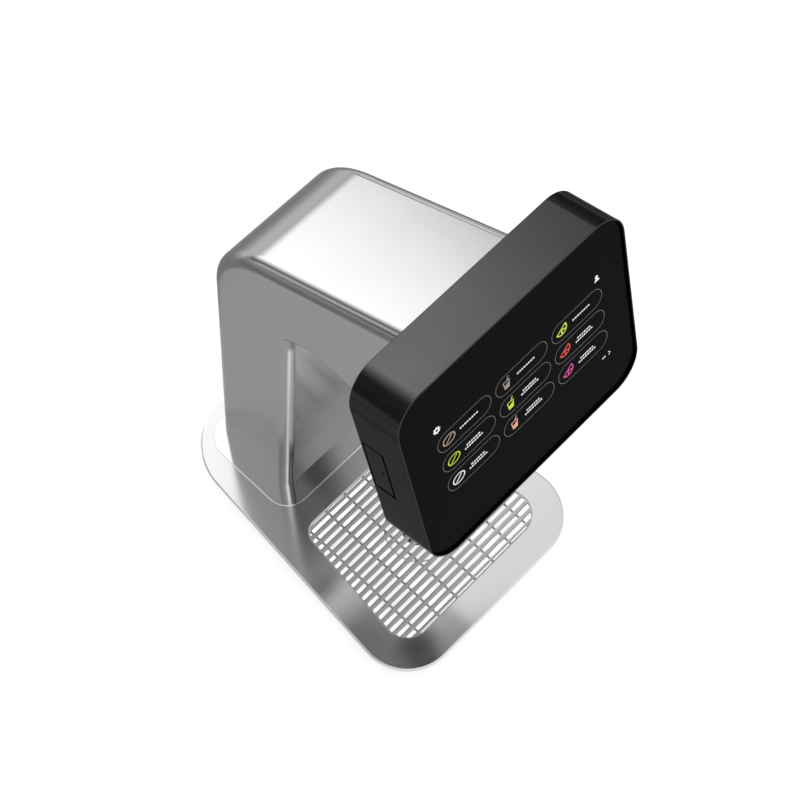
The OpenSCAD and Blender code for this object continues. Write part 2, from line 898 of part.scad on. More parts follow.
module nozzle_collar() {
  color([0.08, 0.08, 0.08])
    translate([0, -grille_y, shoulder_z + collar_up])
      difference() {
        cylinder(r = nozzle_r + seat_gap + collar_wall, h = collar_h);
        translate([0, 0, -1])
          cylinder(r = nozzle_r + seat_gap, h = collar_h + 2);
      }
}

module nozzle_seal() {
  color([0.05, 0.05, 0.05])
    translate([0, -grille_y, spigot_z + spigot_len / 2])
      rotate_extrude()
        translate([spigot_r - seal_ring_r, 0])
          circle(seal_ring_r, $fn = 24);
}

module nozzle_tip() {
  out_r = spigot_r + tip_wall;
  color([0.1, 0.1, 0.1])
    translate([0, -grille_y, tip_top - tip_h])
      difference() {
        union() {
          cylinder(r1 = out_r - 4, r2 = out_r, h = 8);
          translate([0, 0, 8])
            cylinder(r = out_r, h = tip_h - 8);
        }
        translate([0, 0, tip_h - spigot_len])
          cylinder(r = spigot_r + pin_gap, h = spigot_len + 1);
        translate([0, 0, -1])
          cylinder(r = 4.5, h = tip_h);
      }
}

module arm_seal() {
  mid = (top_u + under_end) / 2;
  span = top_u - under_end;
  color([0.05, 0.05, 0.05])
    at_head()
      translate([0, mid, arm_end])
        linear_extrude(seal_t)
          difference() {
            rounded_rect(body_w - 1, span - 1, edge_r);
            rounded_rect(body_w - 10, span - 10, edge_r - 4);
          }
}

module head_housing() {
  color([0.1, 0.1, 0.1])
    at_head()
      difference() {
        head_block(0, -head_d, 0);
        head_block(head_wall, back_face, shelf_back);
        head_block(head_wall + shelf_w, shelf_back - 1, tape_back + 1);
        head_block(rim_t, tape_back, 1);
        translate([-head_w / 2 - 1, hatch_up - hatch_h / 2, back_face])
          cube([head_wall + 2, hatch_h, -hatch_front - back_face]);
        translate([hinge_x, hatch_up - hatch_h / 2 - pin_hold, hinge_n])
          rotate([-90, 0, 0])
            cylinder(r = pin_r + pin_gap, h = hatch_h + 2 * pin_hold);
        translate([0, 0, -head_d - 1])
          linear_extrude(head_back + 2) {
            for (s = head_screw_spots)
              translate(s)
                circle(screw_r + seat_gap);
            translate([power_x, loom_u(-head_d)])
              circle(loom_r + 4);
          }
      }
}

module head_screws() {
  color([0.6, 0.6, 0.6])
    at_head()
      for (s = head_screw_spots)
        translate([s[0], s[1], back_face])
          screw(screw_r, screw_head_r, screw_head_h, head_back + chassis_t + 1);
}

module glass_panel() {
  color([0.03, 0.03, 0.03])
    at_head()
      head_block(rim_t + seat_gap, glass_back, -glass_sink);
}

module glass_tape() {
  color([0.05, 0.05, 0.05])
    at_head()
      difference() {
        head_block(rim_t + 1, tape_back, glass_back);
        head_block(head_wall + shelf_w, tape_back - 1, 1);
      }
}

module display_module() {
  color([0.2, 0.2, 0.22])
    at_head()
      translate([-display_w / 2, display_up - display_h / 2, display_back])
        cube([display_w, display_h, display_t]);
}

module board_standoffs() {
  color([0.75, 0.6, 0.3])
    at_head()
      for (s = board_spots)
        translate([s[0], s[1], board_front])
          difference() {
            cylinder(r = standoff_r, h = standoff_len);
            translate([0, 0, -1])
              cylinder(r = 1.5 + pin_gap, h = 7);
          }
}

module control_board() {
  color([0.05, 0.3, 0.15])
    at_head() {
      translate([0, display_up, board_back])
        linear_extrude(board_t)
          difference() {
            square([board_w, board_h], center = true);
            for (s = board_spots)
              translate([s[0], s[1] - display_up])
                circle(1.5 + pin_gap);
          }
      translate([-45, display_up - 20, board_back - 8])
        cube([40, 40, 8]);
      translate([10, display_up - 36, board_back - 6])
        cube([36, 10, 6]);
      translate([power_x - 7, loom_u(loom_end) - 7, board_back - connector_t])
        cube([14, 14, connector_t]);
    }
}

module board_screws() {
  color([0.6, 0.6, 0.6])
    at_head()
      for (s = board_spots)
        translate([s[0], s[1], board_back])
          rotate([180, 0, 0])
            screw(1.5, 2.8, 2, board_t + 5);
}

module service_hatch() {
  h = hatch_h - 2 * hatch_gap;
  color([0.1, 0.1, 0.1])
    at_head()
      difference() {
        union() {
          translate([-head_w / 2, hatch_up - h / 2, hinge_n])
            cube([hatch_t, h, -hatch_front - hatch_gap - hinge_n]);
          translate([hinge_x, hatch_up - h / 2, hinge_n])
            rotate([-90, 0, 0])
              cylinder(r = barrel_r, h = h);
        }
        translate([hinge_x, hatch_up - h / 2 - 1, hinge_n])
          rotate([-90, 0, 0])
            cylinder(r = pin_r + pin_gap, h = h + 2);
        translate([-head_w / 2 - 1, hatch_up, -hatch_front - 6])
          rotate([0, 90, 0])
            cylinder(r = catch_r + pin_gap, h = hatch_t + 2);
      }
}

module hatch_pin() {
  color([0.7, 0.7, 0.7])
    at_head()
      translate([hinge_x, hatch_up - hatch_h / 2 - pin_hold + 0.2, hinge_n])
        rotate([-90, 0, 0])
          cylinder(r = pin_r, h = hatch_h + 2 * pin_hold - 0.4);
}

module hatch_catch() {
  color([0.03, 0.03, 0.03])
    at_head()
      translate([-head_w / 2, hatch_up, -hatch_front - 6])
        rotate([0, 90, 0])
          cylinder(r = catch_r, h = hatch_t + 1.5);
}

module service_panel() {
  h = hatch_h + 8;
  color([0.12, 0.12, 0.12])
    at_head()
      difference() {
        translate([panel_x, hatch_up - h / 2, back_face])
          cube([panel_t, h, 24]);
        translate([panel_x - 1, hatch_up - 9, back_face + 8.5])
          rotate([0, 90, 0])
            linear_extrude(panel_t + 2)
              rounded_rect(3.4 + 2 * seat_gap, 9 + 2 * seat_gap, 1.8);
        translate([panel_x - 1, hatch_up + 9, back_face + 8.5])
          rotate([0, 90, 0])
            cylinder(r = button_r + lift_gap, h = panel_t + 2);
      }
}

module service_board() {
  color([0.05, 0.3, 0.15])
    at_head()
      translate([board_x, hatch_up, back_face]) {
        translate([0, -service_board_len / 2, 0])
          cube([board_t, service_board_len, service_board_w]);
        for (u = [1 - service_board_len / 2, service_board_len / 2 - 4])
          translate([panel_x + panel_t - board_x, u, 4])
            cube([board_x - panel_x - panel_t, 3, 8]);
      }
}

module data_port() {
  color([0.7, 0.7, 0.7])
    at_head()
      translate([board_x, hatch_up - 9, back_face + 8.5])
        rotate([0, -90, 0])
          linear_extrude(board_x - panel_x + 1.5)
            difference() {
              rounded_rect(3.4, 9, 1.6);
              rounded_rect(2.6, 8.2, 1.2);
            }
}

module power_button() {
  color([0.7, 0.1, 0.1])
    at_head()
      translate([board_x - press_travel - lift_gap, hatch_up + 9, back_face + 8.5])
        rotate([0, -90, 0])
          cylinder(r = button_r, h = board_x - panel_x);
}

base_gasket();
base_frame();
base_plate();
drip_pan();
drip_grille();
drain_bush();
drain_strainer();
threaded_inserts();
foot_flange();
foot_screws();
body_shell();
chassis();
hose_bulkhead();
bulkhead_screws();
concentrate_inlets();
water_inlet();
power_inlet();
concentrate_tubes();
water_tube();
wiring_loom();
valve_manifold();
manifold_screws();
valve_coils();
nozzle_body();
nozzle_collar();
nozzle_seal();
nozzle_tip();
arm_seal();
head_housing();
head_screws();
glass_panel();
glass_tape();
display_module();
board_standoffs();
control_board();
board_screws();
service_hatch();
hatch_pin();
hatch_catch();
service_panel();
service_board();
data_port();
power_button();
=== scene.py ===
# %% [markdown]
# # A touch-screen drink dispenser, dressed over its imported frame
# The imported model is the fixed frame: it says where each piece sits and which body it moves with. This lesson
# gives the pieces their finish, and rebuilds those whose rounded edges catch the light. Lengths are written in
# millimetres, as on a drawing, and turned to metres where a mesh or a pattern is made.

# %% Load the frame
import json
import math
import random

import bmesh
import bpy
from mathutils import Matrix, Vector

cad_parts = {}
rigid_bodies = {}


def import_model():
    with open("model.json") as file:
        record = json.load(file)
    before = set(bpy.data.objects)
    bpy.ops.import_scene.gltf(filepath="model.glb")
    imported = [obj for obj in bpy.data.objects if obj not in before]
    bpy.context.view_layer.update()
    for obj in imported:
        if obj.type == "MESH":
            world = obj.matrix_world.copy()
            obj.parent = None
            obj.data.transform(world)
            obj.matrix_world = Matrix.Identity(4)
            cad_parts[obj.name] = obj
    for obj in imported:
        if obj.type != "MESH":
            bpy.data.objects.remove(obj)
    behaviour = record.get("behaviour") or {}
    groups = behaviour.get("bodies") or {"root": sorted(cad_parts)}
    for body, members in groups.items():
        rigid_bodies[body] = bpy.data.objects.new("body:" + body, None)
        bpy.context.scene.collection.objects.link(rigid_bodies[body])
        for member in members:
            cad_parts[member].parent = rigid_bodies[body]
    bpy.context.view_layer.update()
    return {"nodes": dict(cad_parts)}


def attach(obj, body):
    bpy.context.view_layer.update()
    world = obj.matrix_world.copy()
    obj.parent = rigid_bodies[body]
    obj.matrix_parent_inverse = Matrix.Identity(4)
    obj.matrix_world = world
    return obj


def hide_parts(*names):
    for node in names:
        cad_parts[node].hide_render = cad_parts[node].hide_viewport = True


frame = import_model()
MM = 0.001

# %% [markdown]
# ## Helpers for materials
# A colour picked from a photograph is an sRGB value, but a shader works in linear light, so one function converts
# it. A second function adds any shader node with its settings and links, which keeps each material readable from
# top to bottom. The other functions say things that take several nodes: where a point lies, a zone with soft
# borders, and a base colour between two tones.

# %% Colour and node helpers
def colour(hex_value):
    """Linear RGBA of an sRGB hex value such as "8f8f8f"."""
    parts = [int(hex_value[i:i + 2], 16) / 255 for i in (0, 2, 4)]
    return [c / 12.92 if c <= 0.04045 else ((c + 0.055) / 1.055) ** 2.4 for c in parts] + [1]


def add(tree, kind, settings=None, links=None, **attributes):
    """Adds a node: attributes set its options, settings its sockets, and links join another node's output."""
    node = tree.nodes.new(kind)
    for name, value in attributes.items():
        setattr(node, name, value)
    for socket, value in (settings or {}).items():
        node.inputs[socket].default_value = value
    for socket, (source, output) in (links or {}).items():
        tree.links.new(source.outputs[output], node.inputs[socket])
    return node


def start_material(name, **settings):
    """A new material and its Principled shader, with the settings that are the same all over."""
    material = bpy.data.materials.new(name)
    material.use_nodes = True
    shader = material.node_tree.nodes["Principled BSDF"]
    for socket, value in settings.items():
        shader.inputs[socket.replace("_", " ")].default_value = value
    return material, material.node_tree, shader


def axes_of(tree, output="Object"):
    """X, Y and Z of the point that is shaded or, for Generated in the world, of the direction looked in."""
    place = add(tree, "ShaderNodeTexCoord")
    return add(tree, "ShaderNodeSeparateXYZ", None, {"Vector": (place, output)})


def zone(tree, *borders):
    """Product of soft borders: each goes smoothly from first to last while its source goes from start to end."""
    product = None
    for source, start, end, first, last in borders:
        border = add(tree, "ShaderNodeMapRange",
                     {"From Min": start, "From Max": end, "To Min": first, "To Max": last},
                     {"Value": source}, interpolation_type="SMOOTHSTEP")
        product = border if product is None else add(
            tree, "ShaderNodeMath", None, {0: (product, 0), 1: (border, 0)}, operation="MULTIPLY")
    return product


def two_tones(tree, source, low, high):
    """Gives the shader a base colour that goes from low to high with a node's output."""
    ramp = add(tree, "ShaderNodeValToRGB", None, {"Fac": source})
    ramp.color_ramp.elements[0].color = low
    ramp.color_ramp.elements[1].color = high
    tree.links.new(ramp.outputs["Color"], tree.nodes["Principled BSDF"].inputs["Base Color"])


print("colour of mid grey:", [round(c, 3) for c in colour("808080")])

# %% [markdown]
# ## Steel, aluminium and brass
# The column and arm are stainless sheet, bent, welded and polished, and the base plate is brushed. No finish is a
# perfect mirror: the wheel or belt leaves faint lines along the sheet, and handling leaves slightly duller patches.
# Stretched noise makes the lines as a shallow bump, and a large soft noise varies the roughness. The lines are
# really about 0.1 mm wide, and are drawn at 0.3 to 0.5 mm so that they show at all. On the zinc plating the same
# noise, 1.5 mm wide, stands for its spangle.
#
# Two more things make one recipe serve every metal here. A specular tint sets how much a metal reflects at a low
# angle, which is little on worn polish and on the head's black anodised aluminium. And thin plates are never quite
# flat: what the base plate and the flange mirror fits a slope of 0.049 towards the back. The solids stay flat, so
# that slope is a bump as well.

# %% Metals
LINE_DEPTH = 0.02 * MM
LEAN = 0.049


def metal(name, hex_value, rough, line_mm, stretch, lines, patch_mm, edge="ffffff", lean=0.0):
    """Metal with finishing lines, line_mm wide and drawn out where stretch is small, and duller patches.

    At a low angle it reflects edge, and its surface falls away towards the back by the slope lean.
    """
    material, tree, shader = start_material(
        name, Metallic=1.0, Base_Color=colour(hex_value), Specular_Tint=colour(edge))
    place = add(tree, "ShaderNodeTexCoord")
    run = add(tree, "ShaderNodeMapping", {"Scale": stretch}, {"Vector": (place, "Object")})
    line = add(tree, "ShaderNodeTexNoise", {"Scale": 1 / (line_mm * MM), "Detail": 2.0}, {"Vector": (run, "Vector")})
    bump = add(tree, "ShaderNodeBump", {"Strength": lines, "Distance": LINE_DEPTH}, {"Height": (line, "Fac")})
    if lean:
        fall = add(tree, "ShaderNodeMath", {1: -lean}, {0: (axes_of(tree), "Y")}, operation="MULTIPLY")
        slope = add(tree, "ShaderNodeBump", {"Strength": 1.0, "Distance": 1.0}, {"Height": (fall, "Value")})
        tree.links.new(slope.outputs["Normal"], bump.inputs["Normal"])
    patch = add(tree, "ShaderNodeTexNoise", {"Scale": 1 / (patch_mm * MM), "Detail": 3.0},
                {"Vector": (place, "Object")})
    dull = add(tree, "ShaderNodeMapRange", {"To Min": rough * 0.8, "To Max": rough * 1.2}, {"Value": (patch, "Fac")})
    tree.links.new(dull.outputs["Result"], shader.inputs["Roughness"])
    tree.links.new(bump.outputs["Normal"], shader.inputs["Normal"])
    return material


EVEN, ALONG_X, ALONG_Y, ALONG_Z = (1, 1, 1), (0.02, 1, 1), (1, 0.02, 1), (1, 1, 0.02)
BRUSHED_Y = (1, 0.01, 1)
# The column and arm get a darker base than the flange and plate of the same steel: painted shade, for the grey that
# their flat sides mirror.
# name, colour, roughness, width of the lines, their direction and strength, and width of the patches
polished_steel = metal("polished_stainless_steel", "939393", 0.17, 0.5, ALONG_Z, 0.05, 60, edge="cccccc")
flange_steel = metal("polished_stainless_flange", "d8d8d8", 0.08, 0.5, ALONG_Y, 0.03, 60, lean=LEAN)
brushed_steel = metal("brushed_stainless_plate", "d2d2d2", 0.13, 0.4, BRUSHED_Y, 0.05, 45, lean=LEAN)
grille_steel = metal("brushed_stainless_grille", "c8c8c8", 0.4, 0.4, ALONG_X, 0.05, 30)
black_aluminium = metal("black_anodised_aluminium", "3f3f3f", 0.22, 0.35, EVEN, 0.05, 40, edge="a8a8a8")
plain_steel = metal("turned_stainless_steel", "b8b8b8", 0.28, 0.3, EVEN, 0.2, 10)
zinc_steel = metal("zinc_plated_steel", "a9acb0", 0.38, 1.5, EVEN, 0.3, 12)
brass = metal("turned_brass", "c8a355", 0.28, 0.3, EVEN, 0.2, 8)
dark_steel = metal("blackened_steel", "1c1c1c", 0.45, 0.3, EVEN, 0.2, 8, edge="404040")
print("metals:", len(bpy.data.materials))

# %% [markdown]
# ## Painted highlights on the edges, and painted shade on the bars
# The two front edges of the column and the inside of the arch get a lighter tone than the flat sides, and lighter
# still towards the top of the arch: a painted highlight, for the bright streaks that these edges mirror. Soft zones
# of the object's own coordinates, in metres, say where. The grille's bars are stamped, and their tone goes with the
# height: light on the tops and dark on the flanks between them, which is painted shade.

# %% Painted edge highlights and bar shade
tree = polished_steel.node_tree
axis = axes_of(tree)
across = add(tree, "ShaderNodeMath", None, {0: (axis, "X")}, operation="ABSOLUTE")
front = ((axis, "Y"), 0.0535, 0.0522, 0, 1)
edges = zone(tree, ((across, 0), 0.0475, 0.0492, 0, 1), ((across, 0), 0.0535, 0.0522, 0, 1), front,
             ((axis, "Z"), 0.287, 0.275, 0, 1))
arch = zone(tree, ((across, 0), 0.05, 0.047, 0, 1), front, ((axis, "Z"), 0.11, 0.2, 0, 1),
            ((axis, "Z"), 0.36, 0.33, 0, 1), ((axis, "Z"), 0.19, 0.27, 0.5, 1))
# A lighter tone on the front edges and inside the arch: a painted highlight.
painted_highlight = add(tree, "ShaderNodeMath", None, {0: (edges, 0), 1: (arch, 0)}, operation="MAXIMUM")
two_tones(tree, (painted_highlight, 0), colour("939393"), colour("d6d6d6"))

tree = grille_steel.node_tree
# The flanks below the bars' tops are darker: painted shade between the bars.
height = zone(tree, ((axes_of(tree), "Z"), 0.0131, 0.01385, 0, 1))
two_tones(tree, (height, 0), colour("5c5c5c"), colour("b0b0b0"))
print("two-toned metals:", polished_steel.name, grille_steel.name)

# %% [markdown]
# ## Plastics and rubber
# The nozzle, the drip pan, the inlets and the seals are mouldings. One recipe serves them all: a base colour that
# drifts a little, a grain as bump, and a roughness to suit. The grain of a real tool is about 0.1 mm across, and is
# drawn at 0.35 mm or more. The seals of the hatch are cellular rubber, black and with no highlight at all: painted
# shade, which stands for the dark gap round the flap. The white pan lies in the shade of the head and the grille,
# and gives off a low light of its own: painted light, which keeps it white there.

# %% Moulded plastics and rubber
GRAIN_DEPTH, DRIFT_MM = 0.03 * MM, 25


def moulded(name, hex_value, rough, grain_mm, grain, drift=0.08, **settings):
    """A moulded material whose grain is grain_mm across and grain strong, with colour that drifts a little."""
    material, tree, shader = start_material(name, Roughness=rough, **settings)
    base = colour(hex_value)[:3]
    place = add(tree, "ShaderNodeTexCoord")
    cloud = add(tree, "ShaderNodeTexNoise", {"Scale": 1 / (DRIFT_MM * MM), "Detail": 2.0},
                {"Vector": (place, "Object")})
    two_tones(tree, (cloud, "Fac"), [c * (1 - drift) for c in base] + [1],
              [min(1, c * (1 + drift)) for c in base] + [1])
    speck = add(tree, "ShaderNodeTexNoise", {"Scale": 1 / (grain_mm * MM), "Detail": 1.0},
                {"Vector": (place, "Object")})
    bump = add(tree, "ShaderNodeBump", {"Strength": grain, "Distance": GRAIN_DEPTH}, {"Height": (speck, "Fac")})
    tree.links.new(bump.outputs["Normal"], shader.inputs["Normal"])
    return material


# name, colour, roughness, width and strength of the grain, and drift of the colour
black_plastic = moulded("moulded_black_nylon", "191919", 0.45, 0.35, 0.3)
frame_plastic = moulded("moulded_black_polypropylene", "1d1d1d", 0.5, 0.4, 0.3)
black_rubber = moulded("moulded_black_rubber", "121212", 0.75, 0.4, 0.4)
# Black with no highlight: the hatch seals' finish, which is also painted shade for the gap round the flap.
gap_shade_foam = moulded("cellular_rubber_gap_shade", "080808", 0.9, 0.8, 0.5, Specular_IOR_Level=0.0)
white_plastic = moulded("moulded_white_polypropylene", "f6f6f4", 0.35, 0.4, 0.1, 0.02)
# The pan gives off light of its own: painted light that keeps it white in the shade of the head and the grille.
pan_plastic = moulded("moulded_white_pan_painted_glow", "f8f8f6", 0.35, 0.4, 0.1, 0.02,
                      Emission_Color=colour("ffffff"), Emission_Strength=0.6)
acetal = moulded("machined_white_acetal", "e4e3de", 0.4, 0.5, 0.15, 0.03)
blue_plastic = moulded("moulded_blue_acetal", "4a78b4", 0.4, 0.4, 0.15)
red_plastic = moulded("moulded_red_abs", "a02020", 0.35, 0.4, 0.15)
clear_tube = moulded("extruded_natural_polyethylene", "e3e4de", 0.3, 0.4, 0.1, 0.03)
board_green = moulded("solder_masked_board", "14452c", 0.35, 1.2, 0.4, 0.25)
display_grey = moulded("display_module_casing", "303236", 0.4, 0.6, 0.2)
print("materials so far:", len(bpy.data.materials))

# %% [markdown]
# ## Cover glass
# The screen is one sheet of black-printed cover glass with an anti-reflection coating. So the glass itself has no
# highlight here, and a thin coat with little weight mirrors what the coating lets through. A trace of finger haze
# varies its roughness.

# %% Cover glass
cover_glass, tree, shader = start_material(
    "coated_black_cover_glass", Base_Color=colour("0b0b0b"), Specular_IOR_Level=0.0,
    Coat_Weight=0.06, Coat_Roughness=0.06)
place = add(tree, "ShaderNodeTexCoord")
haze = add(tree, "ShaderNodeTexNoise", {"Scale": 1 / (35 * MM), "Detail": 4.0}, {"Vector": (place, "Object")})
dull = add(tree, "ShaderNodeMapRange", {"To Min": 0.08, "To Max": 0.16}, {"Value": (haze, "Fac")})
tree.links.new(dull.outputs["Result"], shader.inputs["Roughness"])
print("glass:", cover_glass.name)

# %% [markdown]
# ## Places and outlines
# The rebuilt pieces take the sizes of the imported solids. The head has a frame of its own: x across, u up along
# the screen and n out of it. An outline is a list of points that runs once round, so two outlines with as many
# points can be joined one to one.

# %% Places and outlines
HEAD_W, HEAD_H, HEAD_D, HEAD_R = 214.4, 173.2, 43.8, 25.5
HEAD_Y, HEAD_Z, TILT = 116.5, 389.0, math.radians(18.4)
SPOUT_Y = -55.3  # the middle of the nozzle, the grille and the drain


def head_yz(u, n):
    """Side view, as y and z in millimetres, of a point of the head."""
    return Vector((-HEAD_Y + u * math.sin(TILT) - n * math.cos(TILT),
                   HEAD_Z + u * math.cos(TILT) + n * math.sin(TILT)))


def on_base(x, y, z):
    """Row-frame point, in metres, of a point in millimetres."""
    return Vector((x, y, z)) * MM


def on_head(x, u, n):
    """Row-frame point, in metres, of a point of the head in millimetres."""
    return on_base(x, *head_yz(u, n))


def arc(centre, radius, start, end, steps):
    """Points on an arc, from one angle to another in degrees."""
    turns = [math.radians(start + (end - start) * i / steps) for i in range(steps + 1)]
    return [(centre[0] + radius * math.cos(a), centre[1] + radius * math.sin(a)) for a in turns]


def circle(centre, radius, steps):
    """Outline of a circle."""
    return arc(centre, radius, 0, 360, steps)[:-1]


def rounded(w, h, r, steps=16, middle=(0, 0)):
    """Outline of a rectangle with round corners."""
    mx, my = middle
    corners = [(1, -1, -90), (1, 1, 0), (-1, 1, 90), (-1, -1, 180)]
    return [p for sx, sy, a in corners
            for p in arc((mx + sx * (w / 2 - r), my + sy * (h / 2 - r)), r, a, a + 90, steps)]


def tapered(length, front_w, back_w, front_r, back_r, inset=0, middle=0, steps=24):
    """Outline that is wider at the front, with its corners rounded, moved in by inset."""
    front = Vector((front_w / 2 - front_r, -length / 2 + front_r))
    back = Vector((back_w / 2 - back_r, length / 2 - back_r))
    span = back - front
    side = math.degrees(math.atan2(span.y, span.x) - math.acos((front_r - back_r) / span.length))
    half = arc(front, front_r - inset, -90, side, steps) + arc(back, back_r - inset, side, 90, steps)
    half = [(x, y + middle) for x, y in half]
    return half + [(-x, y) for x, y in reversed(half)]


print("screen middle:", [round(v, 4) for v in on_head(0, 0, 0)])

# %% [markdown]
# ## Lofts and pieces
# A piece is a loft: outlines at several levels, joined by quads. Real edges are eased, so each outline is moved in a
# little near a face. Edges that turn more than 35 degrees stay sharp, and the rest are smooth.

# %% Lofts and pieces
SHARP = math.radians(35)
EASED = ((0, 0.4), (0.12, 0.12), (0.4, 0))  # an eased edge: how far in, and how far below the face


def loft(loops, ring=False):
    """Points and faces through loops of equal length. A ring joins the last loop to the first."""
    count = len(loops[0])
    points = [p for loop in loops for p in loop]
    pairs = [(i, i + 1) for i in range(len(loops) - 1)] + ([(len(loops) - 1, 0)] if ring else [])
    faces = [(a * count + j, a * count + (j + 1) % count, b * count + (j + 1) % count, b * count + j)
             for a, b in pairs for j in range(count)]
    if not ring:
        faces.append(tuple(range(count)))
        faces.append(tuple(range(len(points) - count, len(points))))
    return points, faces


def link_object(name, data):
    """A new object in the scene."""
    item = bpy.data.objects.new(name, data)
    bpy.context.scene.collection.objects.link(item)
    return item


def outward_mesh(name, points, faces):
    """A mesh whose faces all look outwards."""
    mesh = bpy.data.meshes.new(name)
    mesh.from_pydata(points, [], faces)
    shape = bmesh.new()
    shape.from_mesh(mesh)
    bmesh.ops.recalc_face_normals(shape, faces=shape.faces)
    shape.to_mesh(mesh)
    shape.free()
    return mesh


def add_piece(name, points, faces, material, body="base"):
    """A mesh piece with smooth shading, which rides on a body of the frame."""
    mesh = outward_mesh(name, points, faces)
    mesh.shade_smooth()
    mesh.set_sharp_from_angle(angle=SHARP)
    mesh.materials.append(material)
    piece = link_object(name, mesh)
    even = piece.modifiers.new("even_normals", "WEIGHTED_NORMAL")
    even.keep_sharp = True
    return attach(piece, body)


def cut(piece, points, faces):
    """Takes a closed shape out of a piece."""
    cutter = link_object("cutter", outward_mesh("cutter", points, faces))
    step = piece.modifiers.new("cut", "BOOLEAN")
    step.object, step.solver = cutter, "EXACT"
    piece.modifiers.move(len(piece.modifiers) - 1, 0)
    with bpy.context.temp_override(object=piece, active_object=piece, selected_objects=[piece]):
        bpy.ops.object.modifier_apply(modifier="cut")
    bpy.data.objects.remove(cutter)
    piece.data.set_sharp_from_angle(angle=SHARP)


print("sharp edges from", round(math.degrees(SHARP)), "degrees")

# %% [markdown]
# ## Side view of the body
# The body is one bent box of sheet: a column, a sloped top with a large bend at the back, and an arch under the
# arm. In side view it has an outer line, up the back and along the top, and an inner line, up the front and round
# the arch. Both have as many points, so that the flat sides are strips of quads between them.

# %% Side view of the body
BODY_W, EDGE_R, WALL = 111.8, 10.0, 2.0
COLUMN_FRONT, COLUMN_BACK, FOOT_TOP = 48.5, 127.5, 15.0
SLOPE, BEND_R = math.radians(29.6), 94.0
ARCH_Y, ARCH_Z, ARCH_R, ARCH_FRONT_R = 9.6, 313.4, 51.0, 268.0
ARM_END, TOP_U = -45.3, 77.5


def outer_line(inset):
    """Back and top of the side view, moved in."""
    top = head_yz(TOP_U, ARM_END)
    bend_y = COLUMN_BACK - BEND_R
    bend_z = top.y - BEND_R * math.cos(SLOPE) - (bend_y + BEND_R * math.sin(SLOPE) - top.x) * math.tan(SLOPE)
    bend = arc((bend_y, bend_z), BEND_R - inset, 0, 90 - math.degrees(SLOPE), 28)
    end = head_yz(TOP_U - inset / math.cos(SLOPE - TILT), ARM_END)
    last = Vector(bend[-1])
    return [(COLUMN_BACK - inset, FOOT_TOP)] + bend + [tuple(last.lerp(end, i / 12)) for i in range(1, 13)]


def inner_line(inset):
    """Front and arch of the side view, moved in, with as many points."""
    middle = Vector((ARCH_Y, ARCH_Z - ARCH_FRONT_R))
    away = head_yz(0, ARM_END) - middle
    along = away.dot(Vector((math.sin(TILT), math.cos(TILT))))
    reach = -along + math.sqrt(along ** 2 - away.dot(away) + (ARCH_FRONT_R + inset) ** 2)
    end = head_yz(reach, ARM_END) - middle
    corner = math.degrees(math.acos((COLUMN_FRONT + inset - ARCH_Y) / (ARCH_R + inset)))
    crown = arc((ARCH_Y, ARCH_Z - ARCH_R), ARCH_R + inset, corner, 90, 22)
    front = arc(middle, ARCH_FRONT_R + inset, 90, math.degrees(math.atan2(end.y, end.x)), 18)
    return [(COLUMN_FRONT + inset, FOOT_TOP)] + crown + front[1:]


print("side view points:", len(outer_line(0)), len(inner_line(0)))

# %% [markdown]
# ## Column and arm
# Each ring of this loft is the side view moved in by a little more, so the long edges come out round. A subdivided
# box would lose the true radii, so the arcs are computed. A second skin inside makes the wall, and two rims close
# it at the foot and at the head. The nozzle comes through a round hole under the arm.

# %% Column and arm
def skin(half_w, edge_r, inset):
    """Points and faces of the body's skin, and its open borders at the foot and at the head."""
    turns = [math.radians(90 * k / 12) for k in range(13)]
    rings = [(-half_w + edge_r - edge_r * math.cos(a), inset + edge_r - edge_r * math.sin(a)) for a in turns]
    rings += [(-x, d) for x, d in reversed(rings)]
    points = [on_base(x, y, z) for x, d in rings for y, z in outer_line(d) + inner_line(d)]
    side = len(outer_line(0))
    row = 2 * side
    starts = [i * row for i in range(len(rings))]
    faces = [(a + j, a + j + 1, b + j + 1, b + j)
             for a, b in zip(starts, starts[1:]) for j in range(row - 1) if j != side - 1]
    for start in (starts[0], starts[-1]):
        faces += [(start + j, start + j + 1, start + side + j + 1, start + side + j) for j in range(side - 1)]
    foot = starts + [start + side for start in reversed(starts)]
    head = [start + side - 1 for start in starts] + [start + row - 1 for start in reversed(starts)]
    return points, faces, foot, head


points, faces, *rims_out = skin(BODY_W / 2, EDGE_R, 0)
points_in, faces_in, *rims_in = skin(BODY_W / 2 - WALL, EDGE_R - WALL, WALL)
shift = len(points)
faces += [tuple(v + shift for v in f) for f in faces_in]
for out, into in zip(rims_out, rims_in):
    faces += [(out[i - 1], out[i], into[i] + shift, into[i - 1] + shift) for i in range(len(out))]
body = add_piece("column_and_arm", points + points_in, faces, polished_steel)
NOZZLE_HOLE_R, HOLE_LOW, HOLE_HIGH = 20.3, 265, 330  # from below the arch into the hollow arm
hole = rounded(2 * NOZZLE_HOLE_R, 2 * NOZZLE_HOLE_R, NOZZLE_HOLE_R, 16, (0, SPOUT_Y))
cut(body, *loft([[on_base(x, y, z) for x, y in hole] for z in (HOLE_LOW, HOLE_HIGH)]))
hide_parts("body_shell")
print("body:", len(body.data.polygons), "faces")

# %% [markdown]
# ## Head housing
# The housing is a tray of black anodised aluminium, which can be milled or die-cast. Its loops run from the inside
# of the back, over the shelf that carries the glass and over the thin rim, then down the outside to the back. Small
# rounds at the rim and at the back edge give the thin highlights that tell a real edge from a drawn one. An opening
# for the service hatch is cut through its left side.

